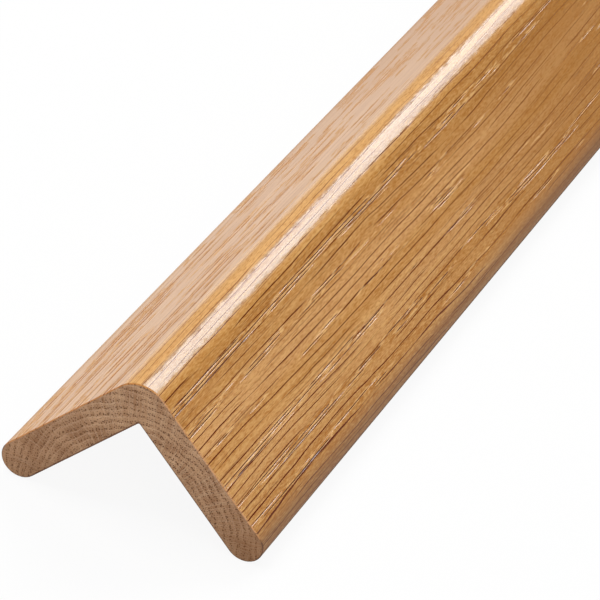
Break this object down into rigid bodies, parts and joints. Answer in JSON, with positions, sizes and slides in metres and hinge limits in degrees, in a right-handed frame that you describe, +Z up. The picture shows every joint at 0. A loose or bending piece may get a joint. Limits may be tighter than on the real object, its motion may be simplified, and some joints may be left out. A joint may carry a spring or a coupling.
{
  "type": "corner guard moulding",
  "caption": "Length of varnished oak corner guard moulding: an L section with a rounded outer corner and rounded tips, fixed over the outside corner of a wall.",
  "frame": {"origin": "on the floor under the middle of the length, halfway between the two tips", "axes": "+Y along the length, away from the end that the picture shows; +Z up, through the rounded outer corner; +X across, towards the right leg"},
  "size_m": [0.055, 1.2192, 0.0305],
  "materials": {
    "varnished_oak": "clear satin varnish on the outside, sawn ends"
  },
  "bodies": {
    "root": {"corner_guard": "varnished_oak"}
  },
  "joints": []
}
